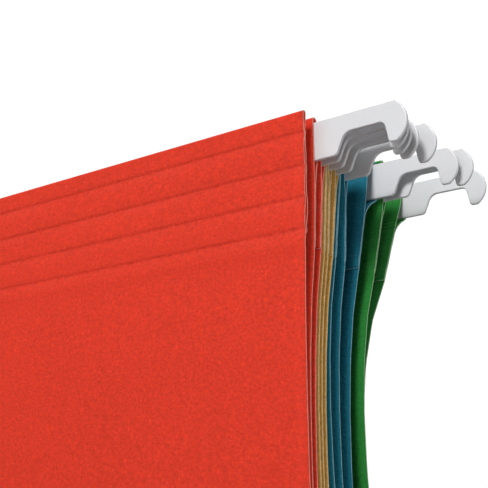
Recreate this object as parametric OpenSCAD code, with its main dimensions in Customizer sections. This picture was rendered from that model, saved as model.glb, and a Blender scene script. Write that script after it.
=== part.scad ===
// A set of four hanging files: folded card leaves on coated steel hanger bars.
// X runs along the bars, Y from the front file to the back one, Z is up.
// The origin is midway between the hooks, on the front bar, at the height of the rails.

/* [Card] */
// Width of a card leaf along the bar
card_width = 350; // [300:1:400]
// Height of a file from its top fold to its bottom fold
file_height = 239; // [200:1:300]
// Thickness of the card
card_thickness = 0.5; // [0.3:0.05:0.6]
// Height of the turned-over hem that holds the bar
hem_height = 39.7; // [36:0.1:44]
// Gap between the two leaves at the bottom fold, centre to centre
bottom_gap = 2; // [1.6:0.1:2.4]

/* [Bar] */
// Height of the bar plate
bar_height = 11.8; // [10:0.1:12]
// Thickness of the coated bar plate
bar_thickness = 1.2; // [0.8:0.1:1.4]
// Height of the arm above the rail
arm_height = 5.4; // [4:0.1:6]
// Reach of a hook past the edge of the card
hook_reach = 28.4; // [26:0.1:30]
// Height of the top fold above the top edge of the bar
fold_rise = 1.8; // [1.7:0.1:2.4]

/* [Hanging positions] */
// Position of the two bars of the red file
red_bars = [0.6, 4.8]; // [0:0.1:10]
// Position of the two bars of the yellow file
yellow_bars = [9.1, 13.2]; // [5:0.1:20]
// Position of the two bars of the blue file
blue_bars = [18.9, 39]; // [15:0.1:45]
// Position of the two bars of the green file
green_bars = [42.5, 61.6]; // [40:0.1:70]
// How far the two bars of the red file have slipped to the right
red_slips = [0, -1.5]; // [-3:0.1:3]
// How far the two bars of the yellow file have slipped to the right
yellow_slips = [-2.5, -2.2]; // [-3:0.1:3]
// How far the two bars of the blue file have slipped to the right
blue_slips = [0.8, -0.4]; // [-3:0.1:3]
// How far the two bars of the green file have slipped to the right
green_slips = [3, 0.4]; // [-3:0.1:3]

/* [Hidden] */

RED = [0.83, 0.20, 0.13];
YELLOW = [0.80, 0.58, 0.20];
BLUE = [0.05, 0.36, 0.50];
GREEN = [0.16, 0.55, 0.14];
WHITE = [0.90, 0.90, 0.91];

FRONT = 0;
BACK = 1;

// Heights, from the rail seat at z = 0
top_z = arm_height + fold_rise;
bar_low_z = arm_height - bar_height;
// The knee is where the two layers of a hem come together below the bar
knee_z = top_z - 18.2;
knee_fill = 1.2;
hem_low_z = top_z - hem_height;
leaf_low_z = top_z - file_height + bottom_gap / 2 + card_thickness / 2;
// Card of one body stops this far short of the card of the next body
crease_gap = 0.3;
// Room left between the bar and each wall of its hem
bar_room = 0.15;
grip = bar_thickness / 2 + bar_room + card_thickness / 2;
closed_grip = card_thickness / 2;
open_grip = 0.6;

// Where each hem ends, which is the crease that its leaf turns on
red_creases = [-1.2, 2.2];
yellow_creases = [6.4, 8.9];
blue_creases = [16.5, 25];
green_creases = [32.5, 42.5];
// How far each leaf bows towards the front below its crease
red_bows = [4, 4.6];
yellow_bows = [5.7, 6];
blue_bows = [7, 8.1];
green_bows = [11.6, 17.5];
// Covers: place of the top fold, place of the crease and bow
red_cover = [-5.2, -6.1, 1.5];
yellow_cover = [6.95, 4.4, 5.6];
blue_cover = [15.3, 10.9, 7.2];
cover_stand_off = 1.05;
// How far the walls of a hem puff away from the bar, front and back
red_puffs = [[0, 0], [0, 0]];
yellow_puffs = [[0, 0.2], [0, 0]];
blue_puffs = [[0, 1.8], [0, 0]];
green_puffs = [[0.2, 0.3], [0, 0.2]];
// Where the knee lies between the bar and the crease, as a share of the way
usual_knee = 0.2;
blue_back_knee = 0.53;
green_back_knee = 0.4;
// How far a front wall slants forward at the foot of the bar, and how late it starts to
no_slant = [0, 1];
blue_back_slant = [5.6, 0.5];
green_back_slant = [4.4, 2];

// The hook's outline, measured from the edge of the card
wide_end = 6.9;
slope_end = 9.6;
seat_end = 20.2;
inner_corner_r = 1.7;
tip_inner = 22.8;
hook_bow_r = 7;
hook_bow_z = arm_height - bar_height / 2;
hook_bow_angle = asin((bar_height / 2) / hook_bow_r);
tip_lean = 12;

LEAF_STEPS = 14;
WALL_STEPS = 10;
TOP_STEPS = 8;
FOLD_STEPS = 12;
CORNER_STEPS = 5;
BOW_STEPS = 12;

// The middle of a file's bottom fold lies midway between its two creases.
function mid(creases) = (creases[FRONT] + creases[BACK]) / 2;

// A bow that is widest a quarter of the way down and dies away at both ends
function bow_shape(u) = u * pow(1 - u, 3) / (0.25 * pow(0.75, 3));

// Centre line of a leaf from its upper end to its lower end
function leaf_line(upper_y, lower_y, bow, z0, z1) = [
    for (i = [0 : LEAF_STEPS])
        let (u = i / LEAF_STEPS)
        [upper_y + (lower_y - upper_y) * u - bow * bow_shape(u), z0 + (z1 - z0) * u]
];

// Unit normal of a line at point i, towards +Y on a line that runs down
function normal_at(line, i) =
    let (a = line[max(i - 1, 0)], b = line[min(i + 1, len(line) - 1)], d = b - a)
    [-d[1], d[0]] / norm(d);

// Outline of a band of the given thickness about a centre line
function band(line, thickness) = concat(
    [for (i = [0 : len(line) - 1]) line[i] + normal_at(line, i) * thickness / 2],
    [for (i = [len(line) - 1 : -1 : 0]) line[i] - normal_at(line, i) * thickness / 2]
);

// Points along an arc
function arc(centre, r, from, to, steps) = [
    for (i = [0 : steps])
        let (a = from + (to - from) * i / steps)
        centre + r * [cos(a), sin(a)]
];

// An outline in the Y-Z plane, drawn out to the width of the card
module card_extrude(outline) {
    rotate([90, 0, 90])
        translate([0, 0, -card_width / 2])
            linear_extrude(height = card_width)
                polygon(outline);
}

// One wall of a hem from its top to the bottom of the bar's space. side is -1 for the front.
function hem_wall(y, side, grip, puff, slant, shift) = [
    for (i = [0 : WALL_STEPS])
        let (
            u = i / WALL_STEPS,
            z_top = top_z - grip - card_thickness / 2,
            out = grip + puff * sin(180 * u) + slant[0] * pow(u, slant[1])
        )
        [y + side * (out + shift), z_top + (bar_low_z - z_top) * u]
];

// Outline of a hem: a loop over the top, walls down to the knee, and two layers to the crease
function hem_outline(y, crease_y, grip, puffs, knee, slant, shift) =
    let (
        knee_y = y + (crease_y - y) * knee,
        front = hem_wall(y, -1, grip, puffs[FRONT], slant, shift),
        back = hem_wall(y, 1, grip, puffs[BACK], no_slant, shift)
    )
    concat(
        shift < 0 ? [[knee_y, knee_z + knee_fill]]
            : [[crease_y + card_thickness, hem_low_z], [knee_y + card_thickness, knee_z]],
        [for (i = [WALL_STEPS : -1 : 1]) back[i]],
        arc([y, back[0][1]], grip + shift, 0, 180, TOP_STEPS),
        [for (i = [1 : WALL_STEPS]) front[i]],
        shift < 0 ? []
            : [[knee_y - card_thickness, knee_z], [crease_y - card_thickness, hem_low_z]]
    );

// A hem with room inside it for a bar
module hem(y, crease_y, grip, puffs, knee = usual_knee, slant = no_slant) {
    half = card_thickness / 2;
    if (grip > half)
        difference() {
            card_extrude(hem_outline(y, crease_y, grip, puffs, knee, slant, half));
            translate([-card_width, 0, 0])
                rotate([90, 0, 90])
                    linear_extrude(height = 2 * card_width)
                        polygon(hem_outline(y, crease_y, grip, puffs, knee, slant, -half));
        }
    else
        card_extrude(hem_outline(y, crease_y, grip, puffs, knee, slant, half));
}

// A single layer of card below a crease
module leaf(crease_y, lower_y, bow, low_z) {
    card_extrude(band(
        leaf_line(crease_y, lower_y, bow, hem_low_z - crease_gap, low_z),
        card_thickness
    ));
}

// The two leaves of a file, hung from its hems
module front_leaf(creases, bows) {
    leaf(creases[FRONT], mid(creases) - bottom_gap, bows[FRONT], leaf_low_z);
}

module back_leaf(creases, bows) {
    leaf(creases[BACK], mid(creases), bows[BACK], leaf_low_z + crease_gap);
}

// A loose leaf in front of the front leaf
module cover_leaf(cover, creases) {
    leaf(cover[1], mid(creases) - bottom_gap - cover_stand_off, cover[2], leaf_low_z);
}

// The rounded fold that joins the two leaves
module bottom_fold(creases) {
    centre = [mid(creases) - bottom_gap / 2, leaf_low_z];
    card_extrude(concat(
        arc(centre, (bottom_gap + card_thickness) / 2, 180, 360, FOLD_STEPS),
        arc(centre, (bottom_gap - card_thickness) / 2, 360, 180, FOLD_STEPS)
    ));
}

// Outline of half a bar, from its middle to the right hook
function bar_half() =
    let (
        e = card_width / 2,
        bow_x = e + hook_reach - hook_bow_r
    )
    concat(
        [[0, bar_low_z], [e + wide_end, bar_low_z], [e + slope_end, 0]],
        arc([e + seat_end, -inner_corner_r], inner_corner_r, 90, tip_lean, CORNER_STEPS),
        [[e + tip_inner, bar_low_z]],
        arc([bow_x, hook_bow_z], hook_bow_r, -hook_bow_angle, hook_bow_angle, BOW_STEPS),
        [[0, arm_height]]
    );

// A coated steel bar with a hook at each end
module bar(y, slip) {
    translate([slip, y, 0])
        rotate([90, 0, 0])
            translate([0, 0, -bar_thickness / 2]) {
                linear_extrude(height = bar_thickness) polygon(bar_half());
                mirror([1, 0, 0])
                    linear_extrude(height = bar_thickness) polygon(bar_half());
            }
}

module red_front_bar() { color(WHITE) bar(red_bars[FRONT], red_slips[FRONT]); }
module red_back_bar() { color(WHITE) bar(red_bars[BACK], red_slips[BACK]); }
module yellow_front_bar() { color(WHITE) bar(yellow_bars[FRONT], yellow_slips[FRONT]); }
module yellow_back_bar() { color(WHITE) bar(yellow_bars[BACK], yellow_slips[BACK]); }
module blue_front_bar() { color(WHITE) bar(blue_bars[FRONT], blue_slips[FRONT]); }
module blue_back_bar() { color(WHITE) bar(blue_bars[BACK], blue_slips[BACK]); }
module green_front_bar() { color(WHITE) bar(green_bars[FRONT], green_slips[FRONT]); }
module green_back_bar() { color(WHITE) bar(green_bars[BACK], green_slips[BACK]); }

module red_cover_hem() { color(RED) hem(red_cover[0], red_cover[1], open_grip, [0, 0]); }
module red_cover_leaf() { color(RED) cover_leaf(red_cover, red_creases); }
module red_front_hem() {
    color(RED) hem(red_bars[FRONT], red_creases[FRONT], grip, red_puffs[FRONT]);
}
module red_front_leaf() { color(RED) front_leaf(red_creases, red_bows); }
module red_back_hem() {
    color(RED) hem(red_bars[BACK], red_creases[BACK], grip, red_puffs[BACK]);
}
module red_back_leaf() { color(RED) back_leaf(red_creases, red_bows); }
module red_bottom_fold() { color(RED) bottom_fold(red_creases); }

module yellow_cover_hem() {
    color(YELLOW) hem(yellow_cover[0], yellow_cover[1], closed_grip, [0, 0]);
}
module yellow_cover_leaf() { color(YELLOW) cover_leaf(yellow_cover, yellow_creases); }
module yellow_front_hem() {
    color(YELLOW) hem(yellow_bars[FRONT], yellow_creases[FRONT], grip, yellow_puffs[FRONT]);
}
module yellow_front_leaf() { color(YELLOW) front_leaf(yellow_creases, yellow_bows); }
module yellow_back_hem() {
    color(YELLOW) hem(yellow_bars[BACK], yellow_creases[BACK], grip, yellow_puffs[BACK]);
}
module yellow_back_leaf() { color(YELLOW) back_leaf(yellow_creases, yellow_bows); }
module yellow_bottom_fold() { color(YELLOW) bottom_fold(yellow_creases); }

module blue_cover_hem() {
    color(BLUE) hem(blue_cover[0], blue_cover[1], closed_grip, [0, 0]);
}
module blue_cover_leaf() { color(BLUE) cover_leaf(blue_cover, blue_creases); }
module blue_front_hem() {
    color(BLUE) hem(blue_bars[FRONT], blue_creases[FRONT], grip, blue_puffs[FRONT]);
}
module blue_front_leaf() { color(BLUE) front_leaf(blue_creases, blue_bows); }
module blue_back_hem() {
    color(BLUE) hem(
        blue_bars[BACK], blue_creases[BACK], grip, blue_puffs[BACK],
        blue_back_knee, blue_back_slant
    );
}
module blue_back_leaf() { color(BLUE) back_leaf(blue_creases, blue_bows); }
module blue_bottom_fold() { color(BLUE) bottom_fold(blue_creases); }

module green_front_hem() {
    color(GREEN) hem(green_bars[FRONT], green_creases[FRONT], grip, green_puffs[FRONT]);
}
module green_front_leaf() { color(GREEN) front_leaf(green_creases, green_bows); }
module green_back_hem() {
    color(GREEN) hem(
        green_bars[BACK], green_creases[BACK], grip, green_puffs[BACK],
        green_back_knee, green_back_slant
    );
}
module green_back_leaf() { color(GREEN) back_leaf(green_creases, green_bows); }
module green_bottom_fold() { color(GREEN) bottom_fold(green_creases); }

red_front_bar();
red_back_bar();
red_cover_hem();
red_cover_leaf();
red_front_hem();
red_front_leaf();
red_back_hem();
red_back_leaf();
red_bottom_fold();
yellow_front_bar();
yellow_back_bar();
yellow_cover_hem();
yellow_cover_leaf();
yellow_front_hem();
yellow_front_leaf();
yellow_back_hem();
yellow_back_leaf();
yellow_bottom_fold();
blue_front_bar();
blue_back_bar();
blue_cover_hem();
blue_cover_leaf();
blue_front_hem();
blue_front_leaf();
blue_back_hem();
blue_back_leaf();
blue_bottom_fold();
green_front_bar();
green_back_bar();
green_front_hem();
green_front_leaf();
green_back_hem();
green_back_leaf();
green_bottom_fold();
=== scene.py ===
"""Four hanging files of dyed card on white coated hook bars.

Each leaf of a file is one sheet of card, turned over at the top to make the hem
that holds its bar, and scored across the hem. The sheets are drawn from the
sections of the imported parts, so they lie where those do, apart from the scores,
the soft bends, the warp and the small slips that are given here.
"""

import logging
import math
from dataclasses import dataclass, field
from enum import Enum
from typing import Sequence, Union

import bmesh
import bpy
from mathutils import Euler, Matrix, Vector, noise


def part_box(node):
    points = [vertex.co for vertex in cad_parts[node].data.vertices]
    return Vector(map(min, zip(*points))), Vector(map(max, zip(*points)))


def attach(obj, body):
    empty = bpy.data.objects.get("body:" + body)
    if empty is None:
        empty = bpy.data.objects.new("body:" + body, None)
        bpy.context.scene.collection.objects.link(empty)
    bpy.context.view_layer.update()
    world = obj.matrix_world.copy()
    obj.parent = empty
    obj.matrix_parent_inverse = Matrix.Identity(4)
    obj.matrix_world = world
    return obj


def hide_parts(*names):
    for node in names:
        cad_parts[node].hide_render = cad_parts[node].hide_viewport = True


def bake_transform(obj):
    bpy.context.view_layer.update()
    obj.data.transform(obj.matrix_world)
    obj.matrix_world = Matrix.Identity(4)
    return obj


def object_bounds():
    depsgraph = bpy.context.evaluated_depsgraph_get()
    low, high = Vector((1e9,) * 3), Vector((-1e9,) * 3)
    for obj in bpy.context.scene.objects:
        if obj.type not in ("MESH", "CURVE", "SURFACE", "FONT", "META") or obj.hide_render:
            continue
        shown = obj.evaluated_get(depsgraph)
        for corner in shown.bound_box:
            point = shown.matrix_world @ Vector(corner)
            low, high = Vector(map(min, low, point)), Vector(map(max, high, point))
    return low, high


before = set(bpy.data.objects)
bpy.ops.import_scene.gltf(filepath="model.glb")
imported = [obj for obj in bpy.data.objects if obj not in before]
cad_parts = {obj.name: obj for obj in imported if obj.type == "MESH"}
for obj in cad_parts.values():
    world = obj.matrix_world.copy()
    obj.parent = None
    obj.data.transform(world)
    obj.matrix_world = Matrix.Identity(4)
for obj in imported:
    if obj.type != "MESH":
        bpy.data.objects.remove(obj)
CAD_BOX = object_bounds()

LOG = logging.getLogger("hanging_files")
MM = 0.001
NEAR = 0.01 * MM  # places closer than this are taken as one
DECIMALS = 7  # of a metre, to which places are compared
NOISE_MIDDLE = (0.3, 0.7)  # where most of a noise texture's values lie

Point = tuple[float, float]
Place = tuple[float, float, float]
Colour = tuple[float, float, float]
Socket = bpy.types.NodeSocket
Feed = Union[bpy.types.NodeSocket, float, tuple[float, ...]]


class Side(Enum):
    """Which way the outer face of a leaf looks, as the sign of its Y direction."""

    FRONT = -1
    BACK = 1


class Leaf(Enum):
    """The three kinds of leaf that a file may have."""

    COVER = "cover"
    FRONT = "front"
    BACK = "back"


# ---------------------------------------------------------------- sections


class Section:
    """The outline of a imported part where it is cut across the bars.

    Args:
        node: Name of the part.
    """

    def __init__(self, node: str) -> None:
        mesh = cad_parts[node].data
        right = max(v.co.x for v in mesh.vertices) - NEAR
        count: dict[frozenset[Point], int] = {}
        for face in mesh.polygons:
            corners = [mesh.vertices[i].co for i in face.vertices]
            if all(c.x > right for c in corners):
                keys = [(round(c.y, DECIMALS), round(c.z, DECIMALS)) for c in corners]
                for a, b in zip(keys, keys[1:] + keys[:1]):
                    edge = frozenset((a, b))
                    count[edge] = count.get(edge, 0) + 1
        self.edges = [tuple(e) for e, n in count.items() if n == 1 and len(e) == 2]
        heights = [z for e in self.edges for _, z in e]
        self.low, self.high = min(heights), max(heights)

    def crossings(self, z: float) -> list[float]:
        """Finds where the outline passes a height.

        Args:
            z: The height, in metres.

        Returns:
            The Y positions, from front to back.
        """
        z = min(max(z, self.low + NEAR), self.high - NEAR)
        found = []
        for (ya, za), (yb, zb) in self.edges:
            if (za - z) * (zb - z) <= 0 and za != zb:
                found.append(ya + (yb - ya) * (z - za) / (zb - za))
        return sorted(found)

    def wall(self, z: float, side: Side, inset: float) -> float:
        """Gives the middle of the outermost wall on one side, at a height."""
        ys = self.crossings(z)
        return ys[0] + inset if side is Side.FRONT else ys[-1] - inset

    def middle(self, z: float) -> float:
        """Gives the middle of the outline at a height."""
        ys = self.crossings(z)
        return (ys[0] + ys[-1]) / 2


# ---------------------------------------------------------------- finishes


def new_group(
    name: str, inputs: dict[str, tuple[str, Feed]], outputs: dict[str, str]
) -> tuple[bpy.types.NodeTree, bpy.types.Node, bpy.types.Node]:
    """Starts a shader node group with named sockets.

    Args:
        name: Name of the group.
        inputs: Socket name to its type and default value.
        outputs: Socket name to its type.

    Returns:
        The group's tree, its input node and its output node.
    """
    tree = bpy.data.node_groups.new(name, "ShaderNodeTree")
    for label, (kind, default) in inputs.items():
        socket = tree.interface.new_socket(name=label, in_out="INPUT", socket_type=kind)
        socket.default_value = default
    for label, kind in outputs.items():
        tree.interface.new_socket(name=label, in_out="OUTPUT", socket_type=kind)
    return tree, tree.nodes.new("NodeGroupInput"), tree.nodes.new("NodeGroupOutput")


def add_node(tree: bpy.types.NodeTree, kind: str, **settings: object) -> bpy.types.Node:
    """Adds a node to a tree.

    Args:
        tree: The tree.
        kind: The node's type.
        **settings: Its properties, and "inputs" with values by socket name or index.

    Returns:
        The node.
    """
    node = tree.nodes.new(kind)
    for key, value in settings.items():
        if key == "inputs":
            for socket, default in value.items():
                node.inputs[socket].default_value = default
        else:
            setattr(node, key, value)
    return node


def add_maths(tree: bpy.types.NodeTree, operation: str, a: Feed, b: Feed) -> Socket:
    """Adds a Math node.

    Args:
        tree: The tree.
        operation: What the node does.
        a: First input, a socket or a number.
        b: Second input, a socket or a number.

    Returns:
        The node's output socket.
    """
    node = add_node(tree, "ShaderNodeMath", operation=operation)
    for socket, value in zip(node.inputs, (a, b)):
        if isinstance(value, bpy.types.NodeSocket):
            tree.links.new(value, socket)
        else:
            socket.default_value = value
    return node.outputs[0]


def add_mix(tree: bpy.types.NodeTree, factor: Feed, a: Feed, b: Feed) -> Socket:
    """Adds a colour Mix node.

    Args:
        tree: The tree.
        factor: How much of the second colour there is, a socket or a number.
        a: First colour, a socket or plain values.
        b: Second colour, a socket or plain values.

    Returns:
        The node's colour output.
    """
    node = add_node(tree, "ShaderNodeMix", data_type="RGBA", blend_type="MIX")
    for index, value in ((0, factor), (6, a), (7, b)):
        if isinstance(value, bpy.types.NodeSocket):
            tree.links.new(value, node.inputs[index])
        else:
            node.inputs[index].default_value = value
    return node.outputs[2]


def add_noise(
    tree: bpy.types.NodeTree, vector: Socket, scale: float, detail: float, rough: float
) -> Socket:
    """Adds a noise texture.

    Args:
        tree: The tree.
        vector: Where the noise is read.
        scale: How many of its blotches fit in a unit of length.
        detail: How many finer layers it has.
        rough: How strong the finer layers are.

    Returns:
        The noise, from 0 to 1.
    """
    node = add_node(
        tree, "ShaderNodeTexNoise", inputs={"Scale": scale, "Detail": detail, "Roughness": rough}
    )
    tree.links.new(vector, node.inputs["Vector"])
    return node.outputs[0]


def add_stretched(tree: bpy.types.NodeTree, vector: Socket, scale: Place, turn: Place) -> Socket:
    """Adds a Mapping node that turns and squeezes a vector, for long thin marks.

    Args:
        tree: The tree.
        vector: The vector.
        scale: How much it is squeezed along each axis.
        turn: How far it is turned about each axis, in radians.

    Returns:
        The mapped vector.
    """
    node = add_node(tree, "ShaderNodeMapping", inputs={"Rotation": turn, "Scale": scale})
    tree.links.new(vector, node.inputs["Vector"])
    return node.outputs[0]


def spread(tree: bpy.types.NodeTree, value: Socket, low: float, high: float) -> Socket:
    """Maps the middle range of a noise onto another range.

    Args:
        tree: The tree.
        value: The noise.
        low: Lowest value of the new range.
        high: Its highest value.

    Returns:
        The mapped value.
    """
    start, end = NOISE_MIDDLE
    node = add_node(
        tree,
        "ShaderNodeMapRange",
        inputs={"From Min": start, "From Max": end, "To Min": low, "To Max": high},
    )
    tree.links.new(value, node.inputs["Value"])
    return node.outputs["Result"]


def card_fibre_group() -> bpy.types.NodeTree:
    """Builds the pulp of uncoated card: cloudy dye, short fibres and a felt surface.

    Returns:
        The group, with inputs Dye, Cloud and Fleck.
    """
    tree, given, made = new_group(
        "card fibre",
        {
            "Dye": ("NodeSocketColor", (0.5, 0.5, 0.5, 1.0)),
            "Cloud": ("NodeSocketFloat", 0.08),
            "Fleck": ("NodeSocketFloat", 0.1),
        },
        {"Color": "NodeSocketColor", "Roughness": "NodeSocketFloat", "Height": "NodeSocketFloat"},
    )
    place = add_node(tree, "ShaderNodeTexCoord").outputs["Object"]
    cloud = add_noise(tree, place, scale=55.0, detail=4.0, rough=0.6)
    felt = add_noise(tree, place, scale=1500.0, detail=3.0, rough=0.6)
    pulp = add_noise(tree, place, scale=1100.0, detail=4.0, rough=0.7)
    drawn = add_stretched(tree, place, scale=(260.0, 1400.0, 1400.0), turn=(0.0, 0.0, 0.0))
    fibre = add_noise(tree, drawn, scale=1.0, detail=2.0, rough=0.5)
    crossed = add_stretched(tree, place, scale=(1400.0, 1400.0, 300.0), turn=(0.7, 0.3, 0.0))
    hairs = add_noise(tree, crossed, scale=1.0, detail=2.0, rough=0.5)

    shade = spread(tree, cloud, low=-1.0, high=1.0)
    shade = add_maths(tree, "MULTIPLY", shade, given.outputs["Cloud"])
    speck = spread(tree, add_maths(tree, "MULTIPLY", fibre, hairs), low=-1.0, high=1.0)
    grit = add_maths(tree, "ADD", spread(tree, pulp, low=-1.0, high=1.0), speck)
    grit = add_maths(tree, "MULTIPLY", grit, given.outputs["Fleck"])
    gain = add_maths(tree, "ADD", add_maths(tree, "ADD", shade, grit), 1.0)
    tint = add_node(tree, "ShaderNodeVectorMath", operation="SCALE")
    tree.links.new(given.outputs["Dye"], tint.inputs[0])
    tree.links.new(gain, tint.inputs["Scale"])
    tree.links.new(tint.outputs[0], made.inputs["Color"])
    tree.links.new(spread(tree, pulp, low=0.78, high=0.92), made.inputs["Roughness"])
    height = add_maths(tree, "ADD", felt, add_maths(tree, "MULTIPLY", fibre, 0.8))
    height = add_maths(tree, "ADD", height, add_maths(tree, "MULTIPLY", pulp, 1.4))
    tree.links.new(height, made.inputs["Height"])
    return tree


def fold_wear_and_highlight_group() -> bpy.types.NodeTree:
    """Builds the paler look along scores and folds, from the sheet's own mask: rubbed wear on the
    folds, and a painted highlight in the band below each score.

    Returns:
        The group, with inputs Color, Rubbed and Amount.
    """
    tree, given, made = new_group(
        "fold wear and highlight",
        {
            "Color": ("NodeSocketColor", (0.5, 0.5, 0.5, 1.0)),
            "Rubbed And Highlight": ("NodeSocketColor", (0.8, 0.8, 0.8, 1.0)),
            "Amount": ("NodeSocketFloat", 0.4),
        },
        {"Color": "NodeSocketColor"},
    )
    mask = add_node(tree, "ShaderNodeAttribute", attribute_name="fold").outputs["Fac"]
    place = add_node(tree, "ShaderNodeTexCoord").outputs["Object"]
    flakes = add_noise(tree, place, scale=420.0, detail=3.0, rough=0.7)
    broken = spread(tree, flakes, low=0.0, high=1.0)
    patches = add_noise(tree, place, scale=28.0, detail=2.0, rough=0.5)
    drift = spread(tree, patches, low=0.35, high=1.0)
    # Where the mask is high the card takes its pale colour: wear on the folds, painted highlight
    # below the scores.
    amount = add_maths(tree, "MULTIPLY", mask, given.outputs["Amount"])
    amount = add_maths(tree, "MULTIPLY", amount, add_maths(tree, "MULTIPLY", broken, drift))
    mixed = add_mix(tree, amount, given.outputs["Color"], given.outputs["Rubbed And Highlight"])
    tree.links.new(mixed, made.inputs["Color"])
    return tree


def coat_group() -> bpy.types.NodeTree:
    """Builds a dipped coating: a soft orange peel, faint dust and rubbed seats.

    Returns:
        The group, with inputs Color, Scuff Color and Scuffs.
    """
    tree, given, made = new_group(
        "dipped coat",
        {
            "Color": ("NodeSocketColor", (0.8, 0.8, 0.8, 1.0)),
            "Scuff Color": ("NodeSocketColor", (0.5, 0.5, 0.5, 1.0)),
            "Scuffs": ("NodeSocketFloat", 0.3),
        },
        {"Color": "NodeSocketColor", "Roughness": "NodeSocketFloat", "Height": "NodeSocketFloat"},
    )
    place = add_node(tree, "ShaderNodeTexCoord").outputs["Object"]
    peel = add_noise(tree, place, scale=260.0, detail=2.0, rough=0.45)
    dust = add_noise(tree, place, scale=700.0, detail=4.0, rough=0.7)
    worn = add_node(tree, "ShaderNodeAttribute", attribute_name="seat").outputs["Fac"]
    streak = add_stretched(tree, place, scale=(1500.0, 120.0, 500.0), turn=(0.0, 0.0, 0.0))
    streaks = add_noise(tree, streak, scale=1.0, detail=3.0, rough=0.6)
    rubbed = spread(tree, streaks, low=0.0, high=1.0)
    rubbed = add_maths(tree, "MULTIPLY", rubbed, worn)
    rubbed = add_maths(tree, "MULTIPLY", rubbed, given.outputs["Scuffs"])
    faint = add_maths(tree, "ADD", spread(tree, dust, low=0.0, high=0.05), rubbed)
    mixed = add_mix(tree, faint, given.outputs["Color"], given.outputs["Scuff Color"])
    tree.links.new(mixed, made.inputs["Color"])
    rough = add_maths(tree, "ADD", spread(tree, peel, low=0.3, high=0.4), rubbed)
    tree.links.new(rough, made.inputs["Roughness"])
    tree.links.new(peel, made.inputs["Height"])
    return tree


def new_material(name: str) -> tuple[bpy.types.Material, bpy.types.Node]:
    """Makes an empty node material.

    Args:
        name: Name of the material.

    Returns:
        The material and its Principled shader.
    """
    material = bpy.data.materials.new(name)
    material.use_nodes = True
    return material, material.node_tree.nodes["Principled BSDF"]


def link_bump(
    tree: bpy.types.NodeTree,
    height: Socket,
    shader: bpy.types.Node,
    strength: float,
    depth: float,
) -> None:
    """Feeds a height through a Bump node into a shader's normal.

    Args:
        tree: The tree.
        height: The height, from 0 to 1.
        shader: The shader.
        strength: Strength of the relief.
        depth: Depth of the relief, in metres.
    """
    bump = add_node(tree, "ShaderNodeBump", inputs={"Strength": strength, "Distance": depth})
    tree.links.new(height, bump.inputs["Height"])
    tree.links.new(bump.outputs[0], shader.inputs["Normal"])


@dataclass(frozen=True)
class CardFinish:
    """Uncoated card dyed through, with a paler core along its cut edges, painted paler still as a
    highlight on edges that sit in shade.

    Attributes:
        name: The colour's plain name.
        dye: Colour of the faces.
        cut: Colour of the cut edges, pale partly as painted highlight; it also pales the worn folds
            and the painted highlight below the scores.
        cloud: How uneven the dye is.
        fleck: How strongly the fibres show.
        rub: How much of the cut colour shows on a worn fold and in the painted highlight below each
            score.
        gloss: Specular level of the card.
    """

    name: str
    dye: Colour
    cut: Colour
    cloud: float = 0.02
    fleck: float = 0.16
    rub: float = 0.3
    gloss: float = 0.15

    def faces(self) -> bpy.types.Material:
        """Makes the material of the sheet's two faces."""
        return self._make(f"{self.name} card", self.dye, strength=0.6, depth=0.17 * MM)

    def edges(self) -> bpy.types.Material:
        """Makes the material of the sheet's cut edges, which are rougher."""
        # The cut colour is pale partly as painted highlight, on edges that sit in shade.
        return self._make(f"{self.name} cut edge", self.cut, strength=0.8, depth=0.18 * MM)

    def _make(
        self, label: str, colour: Colour, strength: float, depth: float
    ) -> bpy.types.Material:
        """Builds one of the card's materials.

        Args:
            label: Name of the material.
            colour: Its main colour.
            strength: Strength of the surface relief.
            depth: Depth of the relief, in metres.

        Returns:
            The finished material.
        """
        material, shader = new_material(label)
        tree = material.node_tree
        fibre = add_node(tree, "ShaderNodeGroup", node_tree=bpy.data.node_groups["card fibre"])
        fibre.inputs["Dye"].default_value = (*colour, 1.0)
        fibre.inputs["Cloud"].default_value = self.cloud
        fibre.inputs["Fleck"].default_value = self.fleck
        # The pale cut colour goes on worn folds and, as painted highlight, in a band below each
        # score.
        wear = add_node(tree, "ShaderNodeGroup", node_tree=bpy.data.node_groups["fold wear and highlight"])
        wear.inputs["Rubbed And Highlight"].default_value = (*self.cut, 1.0)
        wear.inputs["Amount"].default_value = self.rub
        tree.links.new(fibre.outputs["Color"], wear.inputs["Color"])
        tree.links.new(wear.outputs["Color"], shader.inputs["Base Color"])
        tree.links.new(fibre.outputs["Roughness"], shader.inputs["Roughness"])
        link_bump(tree, fibre.outputs["Height"], shader, strength, depth)
        shader.inputs["Specular IOR Level"].default_value = self.gloss
        return material


@dataclass(frozen=True)
class CoatFinish:
    """White dipped coating on steel.

    Attributes:
        colour: Colour of the coating.
        scuff: Colour where the rails rub it.
        scuffs: How much of that colour shows on a seat.
        peel_strength: Strength of its orange peel.
        peel_depth: Depth of its orange peel.
        gloss: Weight of its clear top layer.
        gloss_roughness: Roughness of that layer.
    """

    colour: Colour = (0.665, 0.67, 0.685)
    scuff: Colour = (0.42, 0.42, 0.43)
    scuffs: float = 0.3
    peel_strength: float = 0.25
    peel_depth: float = 0.08 * MM
    gloss: float = 0.25
    gloss_roughness: float = 0.2

    def make(self) -> bpy.types.Material:
        """Makes the coating's material.

        Returns:
            The finished material.
        """
        material, shader = new_material("white coating")
        tree = material.node_tree
        coat = add_node(tree, "ShaderNodeGroup", node_tree=bpy.data.node_groups["dipped coat"])
        coat.inputs["Color"].default_value = (*self.colour, 1.0)
        coat.inputs["Scuff Color"].default_value = (*self.scuff, 1.0)
        coat.inputs["Scuffs"].default_value = self.scuffs
        tree.links.new(coat.outputs["Color"], shader.inputs["Base Color"])
        tree.links.new(coat.outputs["Roughness"], shader.inputs["Roughness"])
        link_bump(tree, coat.outputs["Height"], shader, self.peel_strength, self.peel_depth)
        shader.inputs["Coat Weight"].default_value = self.gloss
        shader.inputs["Coat Roughness"].default_value = self.gloss_roughness
        return material


# ---------------------------------------------------------------- card sheets


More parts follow.
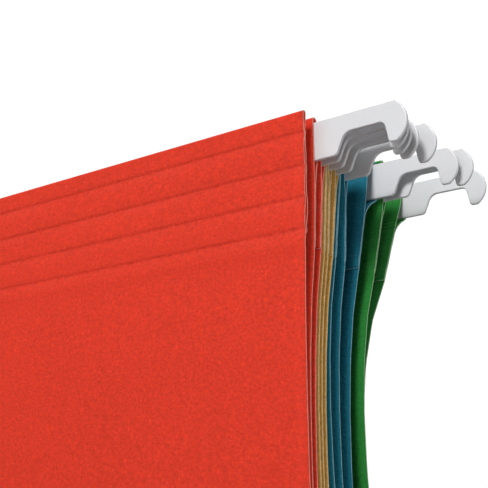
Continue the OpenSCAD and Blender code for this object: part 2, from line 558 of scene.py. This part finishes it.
@dataclass(frozen=True)
class Card:
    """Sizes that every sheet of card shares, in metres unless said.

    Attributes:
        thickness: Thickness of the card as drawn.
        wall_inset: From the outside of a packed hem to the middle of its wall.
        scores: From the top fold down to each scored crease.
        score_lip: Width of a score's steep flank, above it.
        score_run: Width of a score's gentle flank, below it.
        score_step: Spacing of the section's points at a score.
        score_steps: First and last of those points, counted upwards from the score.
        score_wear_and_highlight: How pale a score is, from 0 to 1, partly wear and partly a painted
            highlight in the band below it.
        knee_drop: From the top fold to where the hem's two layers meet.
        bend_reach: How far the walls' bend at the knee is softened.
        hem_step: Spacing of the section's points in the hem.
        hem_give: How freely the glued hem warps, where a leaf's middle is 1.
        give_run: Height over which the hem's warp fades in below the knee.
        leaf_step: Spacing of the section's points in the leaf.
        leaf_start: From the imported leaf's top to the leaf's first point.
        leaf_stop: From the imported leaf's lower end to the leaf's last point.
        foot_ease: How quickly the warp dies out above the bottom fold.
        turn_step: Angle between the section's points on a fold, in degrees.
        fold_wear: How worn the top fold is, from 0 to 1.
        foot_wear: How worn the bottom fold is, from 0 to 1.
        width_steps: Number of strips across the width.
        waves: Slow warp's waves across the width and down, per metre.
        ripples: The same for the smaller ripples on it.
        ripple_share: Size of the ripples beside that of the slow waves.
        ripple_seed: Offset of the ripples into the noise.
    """

    thickness: float = 0.42 * MM
    wall_inset: float = 0.25 * MM
    scores: tuple[float, ...] = (6.9 * MM, 16.9 * MM, 26.3 * MM, 35.5 * MM)
    score_lip: float = 0.65 * MM
    score_run: float = 2.8 * MM
    score_step: float = 0.3 * MM
    score_steps: tuple[int, int] = (-10, 4)
    score_wear_and_highlight: float = 0.15
    knee_drop: float = 18.2 * MM
    bend_reach: float = 3.0 * MM
    hem_step: float = 1.0 * MM
    hem_give: float = 0.35
    give_run: float = 10.0 * MM
    leaf_step: float = 3.2 * MM
    leaf_start: float = 0.9 * MM
    leaf_stop: float = 0.02 * MM
    foot_ease: float = 4.0
    turn_step: int = 15
    fold_wear: float = 0.8
    foot_wear: float = 0.5
    width_steps: int = 90
    waves: Point = (9.0, 7.0)
    ripples: Point = (26.0, 14.0)
    ripple_share: float = 0.35
    ripple_seed: float = 40.0


CARD = Card()


def soft_step(value: float) -> float:
    """Eases from 0 to 1 between 0 and 1."""
    value = min(max(value, 0.0), 1.0)
    return value * value * (3 - 2 * value)


@dataclass
class PathPoint:
    """One point of a sheet's section.

    Attributes:
        y: Place from front to back.
        z: Height.
        give: How freely the sheet may warp here, from 0 to 1.
        fold: How sharply it is folded or scored here, from 0 to 1, which pales the card: wear on
            the folds, partly painted highlight below the scores.
    """

    y: float
    z: float
    give: float
    fold: float


@dataclass
class Sheet:
    """One sheet of card: flap, hem, leaf and, on a front leaf, the bottom fold.

    Attributes:
        colour: Name of the file's colour.
        leaf: Which of the file's leaves this is.
        hem_radius: Radius of the top fold, to the middle of the card.
        flap_drop: From the top fold to the cut end of the flap.
        warp: Size of the slow waves in the leaf.
        seed: Offset into the noise, so that no two sheets match.
        score_depth: How far the scores dip.
        rise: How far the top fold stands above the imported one.
        slide: How far the sheet has slid along its bar.
        flap_gaps: Extra gap behind the flap, as (drop from the top, gap) pairs.
        hem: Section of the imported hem.
        body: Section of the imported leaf.
        bar_low: Height of the bars' lower edge.
    """

    colour: str
    leaf: Leaf
    hem_radius: float = 1.0 * MM
    flap_drop: float = 39.4 * MM
    warp: float = 0.3 * MM
    seed: float = 0.0
    score_depth: float = 0.12 * MM
    rise: float = 0.0
    slide: float = 0.0
    flap_gaps: Sequence[Point] = ()
    hem: Section = field(init=False)
    body: Section = field(init=False)
    bar_low: float = field(init=False)

    def __post_init__(self) -> None:
        """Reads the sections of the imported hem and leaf."""
        self.hem = Section(f"{self.colour}_{self.leaf.value}_hem")
        self.body = Section(f"{self.colour}_{self.leaf.value}_leaf")
        self.bar_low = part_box(f"{self.colour}_front_bar")[0].z

    @property
    def outer(self) -> Side:
        """The side that the sheet's outer face looks to."""
        return Side.BACK if self.leaf is Leaf.BACK else Side.FRONT

    @property
    def inner(self) -> Side:
        """The side that the flap lies on."""
        return Side.FRONT if self.leaf is Leaf.BACK else Side.BACK

    def flap_gap(self, drop: float) -> float:
        """Gives the extra gap between flap and wall.

        Args:
            drop: How far below the top fold.

        Returns:
            The gap, in metres.
        """
        for (d0, g0), (d1, g1) in zip(self.flap_gaps, self.flap_gaps[1:]):
            if d0 <= drop <= d1:
                return g0 + (g1 - g0) * soft_step((drop - d0) / (d1 - d0))
        return 0.0

    def score(self, z: float) -> float:
        """Gives how scored the card is.

        Args:
            z: The height, in metres.

        Returns:
            The depth of the score, from 0 to 1.
        """
        drops = (self.hem.high - z - s for s in CARD.scores)
        return max(
            math.exp(-((d / (CARD.score_run if d > 0 else CARD.score_lip)) ** 2)) for d in drops
        )

    def heights(self, high: float, low: float, step: float) -> list[float]:
        """Lists heights going down, closer together at the scores.

        Args:
            high: The first height.
            low: The last height.
            step: The usual spacing.

        Returns:
            The heights, in metres.
        """
        count = max(2, round((high - low) / step))
        found = {round(high + (low - high) * i / count, DECIMALS) for i in range(count + 1)}
        first, last = CARD.score_steps
        for s in CARD.scores:
            for k in range(first, last + 1):
                z = self.hem.high - s + k * CARD.score_step
                if low < z < high:
                    found.add(round(z, DECIMALS))
        return sorted(found, reverse=True)

    def wall_points(self, side: Side, high: float, low: float) -> list[PathPoint]:
        """Follows one wall of the hem down from the top fold.

        Args:
            side: Which wall.
            high: Height where the wall starts.
            low: Height where it ends.

        Returns:
            The wall's points, going down.
        """
        points = []
        for z in self.heights(high, low, CARD.hem_step):
            y = self.bent_wall(z, side)
            scored = self.score(z)
            y -= self.outer.value * self.score_depth * scored
            if side is self.inner:
                y += side.value * self.flap_gap(self.hem.high - z)
            below_knee = (self.hem.high - z - CARD.knee_drop) / CARD.give_run
            give = CARD.hem_give * soft_step(below_knee)
            # Along the scores the fold mask is partly painted highlight, pale in the band below
            # each score.
            points.append(PathPoint(y, z, give, CARD.score_wear_and_highlight * scored))
        return points

    def bent_wall(self, z: float, side: Side) -> float:
        """Gives the middle of a wall, bent softly instead of sharply below the bar.

        Args:
            z: The height, in metres.
            side: Which wall.

        Returns:
            The wall's Y position.
        """
        reach = min(max(self.bar_low - z, 0.0), CARD.bend_reach, z - self.hem.low)
        steps = (-1.0, -0.5, 0.0, 0.5, 1.0)
        return sum(self.hem.wall(z + reach * k, side, CARD.wall_inset) for k in steps) / len(steps)

    def section(self) -> list[PathPoint]:
        """Follows the sheet from the flap's cut end to the leaf's lower end.

        Returns:
            The points of the sheet's section.
        """
        radius = self.hem_radius
        shoulder = self.hem.high + self.rise - CARD.wall_inset - radius
        flap_low = self.hem.high - self.flap_drop
        flap = self.wall_points(self.inner, shoulder, flap_low)
        wall = self.wall_points(self.outer, shoulder, self.hem.low)
        centre = (flap[0].y + wall[0].y) / 2
        turn = [
            PathPoint(
                centre + self.inner.value * radius * math.cos(math.radians(a)),
                shoulder + radius * math.sin(math.radians(a)),
                0.0,
                CARD.fold_wear * math.sin(math.radians(a)),
            )
            for a in range(CARD.turn_step, 180, CARD.turn_step)
        ]
        return flap[::-1] + turn + wall + self.leaf_points() + self.foot_points()

    def leaf_points(self) -> list[PathPoint]:
        """Follows the single layer of card below the hem.

        Returns:
            The leaf's points, going down.
        """
        high = self.body.high - CARD.leaf_start
        low = self.body.low + CARD.leaf_stop
        points = []
        for z in self.heights(high, low, CARD.leaf_step):
            down = (self.hem.low - z) / (self.hem.low - self.body.low)
            belly = math.sin(math.pi * min(max(down, 0.0), 1.0))
            give = CARD.hem_give + (1 - CARD.hem_give) * belly
            give *= soft_step(CARD.foot_ease * (1 - down))
            points.append(PathPoint(self.body.middle(z), z, give, 0.0))
        return points

    def foot_points(self) -> list[PathPoint]:
        """Follows the bottom fold, which is drawn with the front leaf.

        Returns:
            The fold's points from front to back, or none on another leaf.
        """
        if self.leaf is not Leaf.FRONT:
            return []
        low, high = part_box(f"{self.colour}_bottom_fold")
        centre = (low.y + high.y) / 2
        radius = (high.y - low.y) / 2 - CARD.wall_inset
        return [
            PathPoint(
                centre - radius * math.cos(math.radians(a)),
                high.z - radius * math.sin(math.radians(a)),
                0.0,
                CARD.foot_wear,
            )
            for a in range(CARD.turn_step, 180 + 1, CARD.turn_step)
        ]

    def build(self) -> bpy.types.Object:
        """Makes the sheet's mesh.

        Returns:
            The sheet, in place, with no materials yet.
        """
        points = self.section()
        low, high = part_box(f"{self.colour}_{self.leaf.value}_leaf")
        half = (high.x - low.x) / 2
        bm = bmesh.new()
        bmesh.ops.create_grid(
            bm, x_segments=CARD.width_steps, y_segments=len(points) - 1, size=1.0
        )
        # The fold mask pales the card: wear on the folds, painted highlight in a band below each
        # score.
        fold = bm.verts.layers.float.new("fold")
        for vert in bm.verts:
            point = points[round((vert.co.y + 1) / 2 * (len(points) - 1))]
            vert.co = self.placed(vert.co.x * half + self.slide, point)
            vert[fold] = point.fold
        bmesh.ops.recalc_face_normals(bm, faces=bm.faces[:])
        return finish_mesh(bm, f"{self.colour}_{self.leaf.value}_sheet")

    def placed(self, x: float, point: PathPoint) -> Vector:
        """Puts a point of the section at its place across the width, with the card's warp.

        Args:
            x: The place across the width, in metres.
            point: The point of the section.

        Returns:
            The place of the sheet's middle there.
        """
        (wave_x, wave_z), (ripple_x, ripple_z) = CARD.waves, CARD.ripples
        slow = noise.noise(Vector((x * wave_x, point.z * wave_z, self.seed)))
        ripple = noise.noise(
            Vector((x * ripple_x, point.z * ripple_z, self.seed + CARD.ripple_seed))
        )
        shift = self.warp * point.give * (slow + CARD.ripple_share * ripple)
        return Vector((x, point.y + shift, point.z))

    def dress(
        self, sheet: bpy.types.Object, faces: bpy.types.Material, edges: bpy.types.Material
    ) -> None:
        """Gives the sheet its thickness and its two materials.

        Args:
            sheet: The sheet's piece.
            faces: Material of its faces.
            edges: Material of its cut edges.
        """
        sheet.data.materials.append(faces)
        sheet.data.materials.append(edges)
        solid = sheet.modifiers.new("card thickness", "SOLIDIFY")
        solid.thickness = CARD.thickness
        solid.offset = 0.0
        solid.use_even_offset = True
        solid.material_offset_rim = 1


def finish_mesh(bm: bmesh.types.BMesh, name: str) -> bpy.types.Object:
    """Turns a bmesh into a smooth-shaded object at the origin and frees the bmesh.

    Args:
        bm: The bmesh.
        name: Name of the object and its mesh.

    Returns:
        The object, linked to the scene.
    """
    mesh = bpy.data.meshes.new(name)
    bm.to_mesh(mesh)
    bm.free()
    for face in mesh.polygons:
        face.use_smooth = True
    piece = bpy.data.objects.new(name, mesh)
    bpy.context.scene.collection.objects.link(piece)
    return piece


# ---------------------------------------------------------------- bars


@dataclass
class HookBar:
    """A coated steel bar with a hook at each end.

    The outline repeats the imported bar's, with its edges rounded by the coating.

    Attributes:
        node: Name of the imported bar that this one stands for.
        edge: Half the width of the card.
        wide_end: Past the card's edge, where the bar starts to narrow.
        slope_end: Where it has narrowed to the arm.
        seat_end: Where the arm's flat seat ends.
        corner: Radius of the corner between arm and hook.
        tip_inner: Inner end of the hook's flat tip.
        bow: Radius of the hook's outer edge.
        corner_angles: Directions of the outline's points round that corner, in degrees.
        bow_steps: Number of edges along the hook's outer edge.
        wide_round: How far the corner where the bar starts to narrow is rounded.
        slope_round: The same where it has narrowed.
        tip_round: The same at the hook's tip.
        corner_segments: Number of faces round each of those corners.
        sharp: Edges that turn by more than this, in radians, are rounded.
        rounding: How far the coating rounds the edges.
        rounding_segments: Number of faces round each edge.
        flat_area: Faces larger than this are shaded flat, in square metres.
    """

    node: str
    edge: float
    wide_end: float = 6.9 * MM
    slope_end: float = 9.6 * MM
    seat_end: float = 20.2 * MM
    corner: float = 1.7 * MM
    tip_inner: float = 22.8 * MM
    bow: float = 7.0 * MM
    corner_angles: tuple[int, ...] = (90, 64, 38, 12)
    bow_steps: int = 10
    wide_round: float = 1.0 * MM
    slope_round: float = 2.0 * MM
    tip_round: float = 0.8 * MM
    corner_segments: int = 4
    sharp: float = 1.2
    rounding: float = 0.34 * MM
    rounding_segments: int = 3
    flat_area: float = 15e-6

    def outline(self) -> list[Point]:
        """Draws the outline of the right half, round from the middle of the lower edge.

        Returns:
            The outline's corners, as X and Z.
        """
        low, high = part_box(self.node)
        centre = (low.x + high.x) / 2
        reach = (high.x - low.x) / 2
        e = self.edge
        half_height = (high.z - low.z) / 2
        bow_x = reach - self.bow
        bow_angle = math.asin(half_height / self.bow)
        points = [(0.0, low.z), (e + self.wide_end, low.z), (e + self.slope_end, 0.0)]
        for a in self.corner_angles:
            points.append((
                e + self.seat_end + self.corner * math.cos(math.radians(a)),
                -self.corner + self.corner * math.sin(math.radians(a)),
            ))
        points.append((e + self.tip_inner, low.z))
        for k in range(self.bow_steps + 1):
            a = bow_angle * (2 * k / self.bow_steps - 1)
            points.append((
                bow_x + self.bow * math.cos(a),
                high.z - half_height + self.bow * math.sin(a),
            ))
        points.append((0.0, high.z))
        return [(centre + x, z) for x, z in points]

    def build(self) -> bpy.types.Object:
        """Makes the bar from half its outline, drawn out, mirrored and rounded.

        Returns:
            The bar, in place, with no material yet.
        """
        low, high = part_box(self.node)
        centre = (low.x + high.x) / 2
        bm = bmesh.new()
        verts = [bm.verts.new((x, low.y, z)) for x, z in self.outline()]
        face = bm.faces.new(verts)
        side = bmesh.ops.extrude_face_region(bm, geom=[face])
        moved = [v for v in side["geom"] if isinstance(v, bmesh.types.BMVert)]
        bmesh.ops.translate(bm, verts=moved, vec=(0.0, high.y - low.y, 0.0))
        middle = [f for f in bm.faces if all(abs(v.co.x - centre) < NEAR for v in f.verts)]
        bmesh.ops.delete(bm, geom=middle, context="FACES_ONLY")
        copy = bmesh.ops.duplicate(bm, geom=bm.verts[:] + bm.edges[:] + bm.faces[:])
        other = [v for v in copy["geom"] if isinstance(v, bmesh.types.BMVert)]
        bmesh.ops.scale(
            bm, verts=other, vec=(-1.0, 1.0, 1.0), space=Matrix.Translation((-centre, 0, 0))
        )
        bmesh.ops.remove_doubles(bm, verts=bm.verts[:], dist=NEAR)
        self.round_corner(bm, centre, self.wide_end, self.wide_round)
        self.round_corner(bm, centre, self.slope_end, self.slope_round)
        self.round_corner(bm, centre, self.tip_inner, self.tip_round)
        bmesh.ops.recalc_face_normals(bm, faces=bm.faces[:])
        edges = [
            e for e in bm.edges if len(e.link_faces) == 2 and e.calc_face_angle() > self.sharp
        ]
        bmesh.ops.bevel(
            bm, geom=edges, offset=self.rounding, segments=self.rounding_segments, profile=0.5,
            affect="EDGES", material=-1, clamp_overlap=True,
        )
        seat = bm.verts.layers.float.new("seat")
        for vert in bm.verts:
            from_card = abs(vert.co.x - centre) - self.edge
            on_seat = self.slope_end < from_card < self.seat_end + self.corner
            off_faces = min(vert.co.y - low.y, high.y - vert.co.y) > self.rounding / 10
            vert[seat] = 1.0 if on_seat and off_faces and vert.co.z < self.rounding else 0.0
        piece = finish_mesh(bm, f"{self.node}_coated")
        for face in piece.data.polygons:
            face.use_smooth = face.area < self.flat_area
        return piece

    def round_corner(
        self, bm: bmesh.types.BMesh, centre: float, past: float, reach: float
    ) -> None:
        """Rounds the corners of the outline that lie a given way past the card's edge.

        Args:
            bm: The bar.
            centre: Where its middle is.
            past: How far past the card's edge the corners lie.
            reach: How far the rounding reaches.
        """
        corners = [
            edge
            for edge in bm.edges
            if all(abs(abs(v.co.x - centre) - self.edge - past) < NEAR for v in edge.verts)
            and abs(edge.verts[0].co.z - edge.verts[1].co.z) < NEAR
        ]
        bmesh.ops.bevel(
            bm, geom=corners, offset=reach, segments=self.corner_segments, profile=0.5,
            affect="EDGES", material=-1, clamp_overlap=True,
        )


# ---------------------------------------------------------------- files


@dataclass
class HangingFile:
    """One file: its sheets of card and its two bars.

    Attributes:
        finish: The card's finish, which also names the file.
        sheets: The file's sheets.
        coating: Material of the bars.
        bend_above: From the crease up to where a sheet starts to bend with its leaf; not used.
        bend_below: From the crease down to where it follows the leaf fully; not used.
    """

    finish: CardFinish
    sheets: Sequence[Sheet]
    coating: bpy.types.Material
    bend_above: float = 0.5 * MM
    bend_below: float = 4.0 * MM

    def build(self) -> None:
        """Builds, dresses and places every piece of the file."""
        faces, edges = self.finish.faces(), self.finish.edges()
        for sheet in self.sheets:
            piece = sheet.build()
            sheet.dress(piece, faces, edges)
            self.place_sheet(sheet, piece)
            LOG.info("%s: %d corners", piece.name, len(piece.data.vertices))
        for side in (Leaf.FRONT, Leaf.BACK):
            self.add_bar(side)

    def place_sheet(self, sheet: Sheet, piece: bpy.types.Object) -> None:
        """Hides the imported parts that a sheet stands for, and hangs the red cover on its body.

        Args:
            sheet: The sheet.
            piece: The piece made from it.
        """
        colour, kind = self.finish.name, sheet.leaf.value
        nodes = [f"{colour}_{kind}_hem", f"{colour}_{kind}_leaf"]
        if sheet.leaf is Leaf.FRONT:
            nodes.append(f"{colour}_bottom_fold")
        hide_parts(*nodes)
        if sheet.leaf is Leaf.COVER and colour == "red":
            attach(piece, "red_cover")
            return
        crease = sheet.body.middle(sheet.body.high)
        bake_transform(piece)

    def add_bar(self, side: Leaf) -> None:
        """Adds one of the file's bars.

        Args:
            side: The leaf whose hem it lies in.
        """
        colour = self.finish.name
        low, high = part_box(f"{colour}_{side.value}_leaf")
        bar = HookBar(f"{colour}_{side.value}_bar", (high.x - low.x) / 2)
        piece = bar.build()
        piece.data.materials.append(self.coating)
        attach(piece, f"{colour}_{side.value}")
        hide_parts(bar.node)
        LOG.info("%s: %d faces", piece.name, len(piece.data.polygons))


# ---------------------------------------------------------------- studio


@dataclass
class Studio:
    """The camera, the lights, the floor and the white surround.

    Attributes:
        eye: Place of the camera.
        heading: Its turn from +Y towards -X, in degrees.
        pitch: Its tilt up, in degrees.
        lens: Its focal length, in millimetres.
        sensor: Width of its sensor, in millimetres.
        nearest: From the camera to the nearest thing that it shows.
        aim: Where the lights look.
        floor_drop: Gap between the files and the floor.
        floor_reach: From the floor's middle to its edges.
        floor_seen: Colour of the floor to the camera.
        floor_unseen: Its colour to everything else.
        floor_glow: How much it glows to the camera.
        floor_roughness: Its roughness.
        air: Strength of the surround's light on the files.
        backdrop: Brightness of the surround to the camera.
    """

    eye: Place = (0.28249, -0.19232, -0.09816)
    heading: float = 34.4
    pitch: float = 17.0
    lens: float = 61.75
    sensor: float = 36.0
    nearest: float = 0.01
    aim: Place = (0.05, 0.02, -0.05)
    floor_drop: float = 0.03
    floor_reach: float = 12.0
    floor_seen: Colour = (0.85, 0.85, 0.85)
    floor_unseen: Colour = (0.36, 0.36, 0.36)
    floor_glow: float = 0.35
    floor_roughness: float = 0.9
    air: float = 0.1
    backdrop: float = 1.05

    def build(self) -> None:
        """Builds everything around the object."""
        bpy.context.scene.view_settings.view_transform = "Standard"
        self.add_camera()
        self.add_floor()
        self.add_world()
        self.add_light("key", (0.3, -1.35, 1.0), size=0.5, power=26.5)
        self.add_light("front", (-0.6, -1.6, 0.5), size=1.0, power=4.0)
        self.add_light("top", (0.3, 0.4, 1.4), size=0.9, power=2.0)
        self.add_light("side", (1.9, 0.0, 0.1), size=0.4, power=9.0)
        self.add_light("back", (-0.5, 1.9, 0.9), size=1.6, power=26.0)

    def add_camera(self) -> None:
        """Adds the camera, level from side to side."""
        data = bpy.data.cameras.new("camera")
        data.lens = self.lens
        data.sensor_width = self.sensor
        data.clip_start = self.nearest
        camera = bpy.data.objects.new("camera", data)
        camera.location = self.eye
        camera.rotation_euler = Euler(
            (math.radians(90 + self.pitch), 0.0, math.radians(self.heading))
        )
        bpy.context.scene.collection.objects.link(camera)
        bpy.context.scene.camera = camera

    def add_floor(self) -> None:
        """Adds a plain pale floor below the files, which throws little light back up."""
        bm = bmesh.new()
        bmesh.ops.create_grid(bm, x_segments=1, y_segments=1, size=self.floor_reach)
        height = CAD_BOX[0][2] - self.floor_drop
        bmesh.ops.translate(bm, verts=bm.verts[:], vec=(0.0, 0.0, height))
        floor = finish_mesh(bm, "floor")
        material, shader = new_material("floor")
        tree = material.node_tree
        seen = add_node(tree, "ShaderNodeLightPath").outputs["Is Camera Ray"]
        pale = add_mix(tree, seen, (*self.floor_unseen, 1.0), (*self.floor_seen, 1.0))
        tree.links.new(pale, shader.inputs["Base Color"])
        shader.inputs["Emission Color"].default_value = (1.0, 1.0, 1.0, 1.0)
        glow = add_maths(tree, "MULTIPLY", seen, self.floor_glow)
        tree.links.new(glow, shader.inputs["Emission Strength"])
        shader.inputs["Roughness"].default_value = self.floor_roughness
        floor.data.materials.append(material)

    def add_world(self) -> None:
        """Surrounds the files with a white backdrop that lights them more softly."""
        world = bpy.data.worlds.new("surround")
        bpy.context.scene.world = world
        world.use_nodes = True
        tree = world.node_tree
        lit = tree.nodes["Background"]
        lit.inputs["Color"].default_value = (1.0, 1.0, 1.0, 1.0)
        lit.inputs["Strength"].default_value = self.air
        seen = add_node(tree, "ShaderNodeBackground", inputs={"Strength": self.backdrop})
        seen.inputs["Color"].default_value = (1.0, 1.0, 1.0, 1.0)
        path = add_node(tree, "ShaderNodeLightPath")
        mix = add_node(tree, "ShaderNodeMixShader")
        tree.links.new(path.outputs["Is Camera Ray"], mix.inputs[0])
        tree.links.new(lit.outputs[0], mix.inputs[1])
        tree.links.new(seen.outputs[0], mix.inputs[2])
        tree.links.new(mix.outputs[0], tree.nodes["World Output"].inputs["Surface"])

    def add_light(self, name: str, place: Place, size: float, power: float) -> None:
        """Adds a square soft light that looks at the files.

        Args:
            name: Name of the light.
            place: Where it stands, in metres.
            size: Length of its side, in metres.
            power: Its power, in watts.
        """
        data = bpy.data.lights.new(name, "AREA")
        data.size = size
        data.energy = power
        light = bpy.data.objects.new(name, data)
        light.location = place
        beam = Vector(self.aim) - Vector(place)
        light.rotation_euler = beam.to_track_quat("-Z", "Y").to_euler()
        bpy.context.scene.collection.objects.link(light)


# Each finish gives the dye, then the cut edges' colour, kept pale partly as painted highlight.
FINISHES = {
    "red": CardFinish("red", (0.80, 0.048, 0.022), (0.90, 0.34, 0.28)),
    "yellow": CardFinish("yellow", (0.66, 0.36, 0.08), (0.74, 0.56, 0.32)),
    "blue": CardFinish("blue", (0.010, 0.16, 0.23), (0.22, 0.42, 0.50)),
    "green": CardFinish("green", (0.022, 0.22, 0.035), (0.32, 0.54, 0.30)),
}

SHEETS = {
    "red": (
        Sheet(
            "red", Leaf.COVER, hem_radius=0.6 * MM, flap_drop=36.4 * MM, seed=1.0,
            score_depth=0.4 * MM,
            flap_gaps=((0.0, 0.0), (8.5 * MM, -0.7 * MM), (14 * MM, -0.1 * MM), (18 * MM, 0.1 * MM),
                       (26 * MM, 0.45 * MM), (30 * MM, 0.9 * MM), (36.5 * MM, 0.05 * MM)),
        ),
        Sheet("red", Leaf.FRONT, seed=3.0),
        Sheet("red", Leaf.BACK, flap_drop=39.0 * MM, seed=5.0),
    ),
    "yellow": (
        Sheet("yellow", Leaf.COVER, hem_radius=0.25 * MM, seed=7.0),
        Sheet("yellow", Leaf.FRONT, seed=9.0),
        Sheet("yellow", Leaf.BACK, seed=11.0),
    ),
    "blue": (
        Sheet("blue", Leaf.COVER, hem_radius=0.25 * MM, seed=13.0),
        Sheet("blue", Leaf.FRONT, seed=15.0),
        Sheet("blue", Leaf.BACK, seed=17.0),
    ),
    "green": (
        Sheet("green", Leaf.FRONT, seed=19.0, rise=0.8 * MM, slide=1.5 * MM),
        Sheet("green", Leaf.BACK, seed=21.0),
    ),
}


def main() -> None:
    """Builds the files and the studio."""
    logging.basicConfig(level=logging.INFO, format="%(message)s")
    for make_group in (card_fibre_group, fold_wear_and_highlight_group, coat_group):
        make_group()
    coating = CoatFinish().make()
    Studio().build()
    for colour, finish in FINISHES.items():
        HangingFile(finish, SHEETS[colour], coating).build()
    bpy.context.view_layer.update()


if __name__ == "__main__":
    main()
